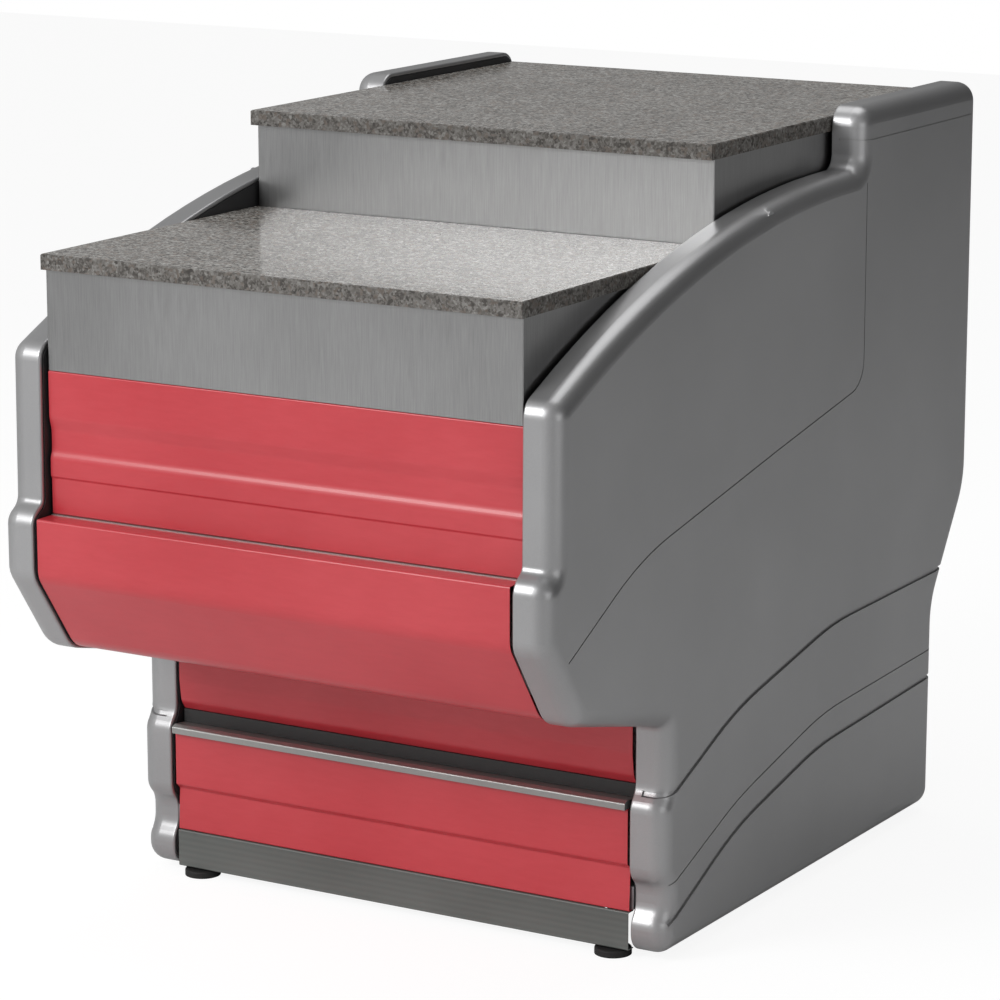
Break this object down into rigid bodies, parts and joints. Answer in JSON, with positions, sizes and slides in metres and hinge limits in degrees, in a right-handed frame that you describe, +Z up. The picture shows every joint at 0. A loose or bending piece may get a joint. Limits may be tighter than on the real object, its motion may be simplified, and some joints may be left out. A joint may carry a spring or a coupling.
{
  "type": "cash desk counter",
  "caption": "Checkout counter module with two-level stone worktops, folded front panels, moulded sides, rear storage shelves and a lockable cash drawer on telescopic runners.",
  "frame": {"origin": "on the floor under the middle of the bounding box", "axes": "+Z up, +Y towards the operator side, +X to the right seen from the customer side"},
  "size_m": [0.8, 1.19, 1.024],
  "materials": {
    "moulding_grey": "satin metallic grey",
    "plate_dark": "matt dark grey",
    "steel": "brushed",
    "red_panel": "satin red",
    "granite": "polished speckled grey",
    "strip_grey": "anodised",
    "strip_dark": "matt black",
    "plinth_grey": "satin grey green",
    "foot_black": "matt",
    "zinc": "zinc plated",
    "frame_zinc": "galvanised",
    "shelf_white": "satin light grey",
    "tray_black": "matt black",
    "drawer_steel": "satin dark grey",
    "core_board": "raw fibreboard",
    "lock_chrome": "polished"
  },
  "bodies": {
    "counter": {"back_panel": "shelf_white", "base_frame": "frame_zinc", "bottom_shelf": "shelf_white", "cross_rails": "frame_zinc", "deck_ribs": "frame_zinc", "drawer_housing": "frame_zinc", "foot_nuts": "zinc", "front_panel_base": "red_panel", "front_panel_lower": "red_panel", "front_panel_upper": "red_panel", "joint_strip": "strip_grey", "mid_shelf": "shelf_white", "nose_panel": "red_panel", "plinth_front": "plinth_grey", "plinth_rear": "plinth_grey", "rail_bolts": "zinc", "rear_fascia": "steel", "runner_outer_left": "zinc", "runner_outer_right": "zinc", "shelf_clips": "zinc", "shell_screws_left": "zinc", "shell_screws_right": "zinc", "side_plate_left": "plate_dark", "side_plate_right": "plate_dark", "side_shell_left": "moulding_grey", "side_shell_right": "moulding_grey", "spacer_strips": "strip_dark", "steel_box_lower": "steel", "steel_box_upper": "steel", "trim_ledge": "strip_grey", "trim_recess": "strip_dark", "worktop_lower": "granite", "worktop_upper": "granite"},
    "drawer": {"drawer_box": "drawer_steel", "drawer_front": "steel", "drawer_core": "core_board", "drawer_grip": "strip_dark", "drawer_screws": "zinc", "lock_barrel": "lock_chrome", "coin_tray": "tray_black", "runner_inner_left": "zinc", "runner_inner_right": "zinc"},
    "runner_middle_left": {"runner_mid_left": "zinc"},
    "runner_middle_right": {"runner_mid_right": "zinc"},
    "lock": {"lock_plug": "lock_chrome", "lock_cam": "zinc"},
    "foot_front_left": {"foot_pad_front_left": "foot_black", "foot_stud_front_left": "zinc"},
    "foot_rear_left": {"foot_pad_rear_left": "foot_black", "foot_stud_rear_left": "zinc"},
    "foot_front_right": {"foot_pad_front_right": "foot_black", "foot_stud_front_right": "zinc"},
    "foot_rear_right": {"foot_pad_rear_right": "foot_black", "foot_stud_rear_right": "zinc"}
  },
  "joints": [
    {"name": "drawer_slide", "type": "slide", "parent": "counter", "child": "drawer", "axis": [0, 1, 0], "range_m": [0, 0.38]},
    {"name": "runner_left_slide", "type": "slide", "parent": "counter", "child": "runner_middle_left", "axis": [0, 1, 0], "range_m": [0, 0.19]},
    {"name": "runner_right_slide", "type": "slide", "parent": "counter", "child": "runner_middle_right", "axis": [0, 1, 0], "range_m": [0, 0.19]},
    {"name": "lock_turn", "type": "hinge", "parent": "drawer", "child": "lock", "pos_m": [0, 0.572, 0.9585], "axis": [0, 1, 0], "range_deg": [-90, 0]},
    {"name": "foot_front_left_turn", "type": "hinge", "parent": "counter", "child": "foot_front_left", "pos_m": [-0.316, -0.284, 0], "axis": [0, 0, 1], "continuous": true},
    {"name": "foot_rear_left_turn", "type": "hinge", "parent": "counter", "child": "foot_rear_left", "pos_m": [-0.316, 0.464, 0], "axis": [0, 0, 1], "continuous": true},
    {"name": "foot_front_right_turn", "type": "hinge", "parent": "counter", "child": "foot_front_right", "pos_m": [0.316, -0.284, 0], "axis": [0, 0, 1], "continuous": true},
    {"name": "foot_rear_right_turn", "type": "hinge", "parent": "counter", "child": "foot_rear_right", "pos_m": [0.316, 0.464, 0], "axis": [0, 0, 1], "continuous": true}
  ],
  "couplings": [
    {"joint": "runner_left_slide", "follows": "drawer_slide", "ratio": 0.5},
    {"joint": "runner_right_slide", "follows": "drawer_slide", "ratio": 0.5}
  ]
}
